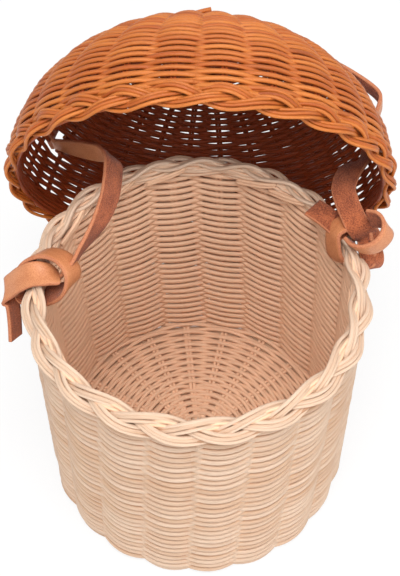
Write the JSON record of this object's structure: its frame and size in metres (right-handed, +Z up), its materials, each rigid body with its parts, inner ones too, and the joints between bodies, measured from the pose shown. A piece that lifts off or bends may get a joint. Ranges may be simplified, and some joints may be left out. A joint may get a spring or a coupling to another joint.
{
  "type": "storage basket",
  "caption": "Round fluted wicker basket with a domed wicker lid tipped back on a knotted leather strap that also arches over the lid as a carrying handle.",
  "frame": {"origin": "middle of the underside of the base", "axes": "+Z up, +X to the right and +Y to the back as seen in the picture, where the lid is tipped to the back"},
  "size_m": [0.2252, 0.2752, 0.2925],
  "materials": {
    "straw": "natural cane, satin",
    "caramel": "stained cane, satin",
    "leather": "smooth outside, suede inside"
  },
  "bodies": {
    "basket": {"wall_weave": "straw", "base_weave": "straw", "base_cross": "straw", "rim_border": "straw", "stake_01": "straw", "stake_02": "straw", "stake_03": "straw", "stake_04": "straw", "stake_05": "straw", "stake_06": "straw", "stake_07": "straw", "stake_08": "straw", "stake_09": "straw", "stake_10": "straw", "stake_11": "straw", "stake_12": "straw", "stake_13": "straw", "stake_14": "straw", "stake_15": "straw", "stake_16": "straw", "stake_17": "straw", "stake_18": "straw", "stake_19": "straw", "stake_20": "straw", "left_knot": "leather", "right_knot": "leather", "left_strap_run": "leather", "right_strap_run": "leather"},
    "lid": {"lid_weave": "caramel", "lid_crown": "caramel", "lid_border": "caramel", "lid_rib_01": "caramel", "lid_rib_02": "caramel", "lid_rib_03": "caramel", "lid_rib_04": "caramel", "lid_rib_05": "caramel", "lid_rib_06": "caramel", "lid_rib_07": "caramel", "lid_rib_08": "caramel", "lid_rib_09": "caramel", "lid_rib_10": "caramel", "lid_rib_11": "caramel", "lid_rib_12": "caramel", "lid_rib_13": "caramel", "lid_rib_14": "caramel", "lid_rib_15": "caramel", "lid_rib_16": "caramel", "lid_rib_17": "caramel", "lid_rib_18": "caramel", "lid_rib_19": "caramel", "lid_rib_20": "caramel", "lid_rib_21": "caramel", "lid_rib_22": "caramel", "lid_rib_23": "caramel", "lid_rib_24": "caramel", "lid_rib_25": "caramel", "lid_rib_26": "caramel"},
    "handle": {"handle_strap": "leather"}
  },
  "joints": [
    {"name": "lid_swing", "type": "hinge", "parent": "basket", "child": "lid", "pos_m": [0.00137, 0.03478, 0.13498], "axis": [0.9992, -0.0393, 0], "range_deg": [0, 73.8], "deforming": ["left_strap_run", "right_strap_run"]},
    {"name": "handle_pull", "type": "slide", "parent": "lid", "child": "handle", "axis": [0.0377, 0.9596, 0.279], "range_m": [0, 0.025]}
  ]
}
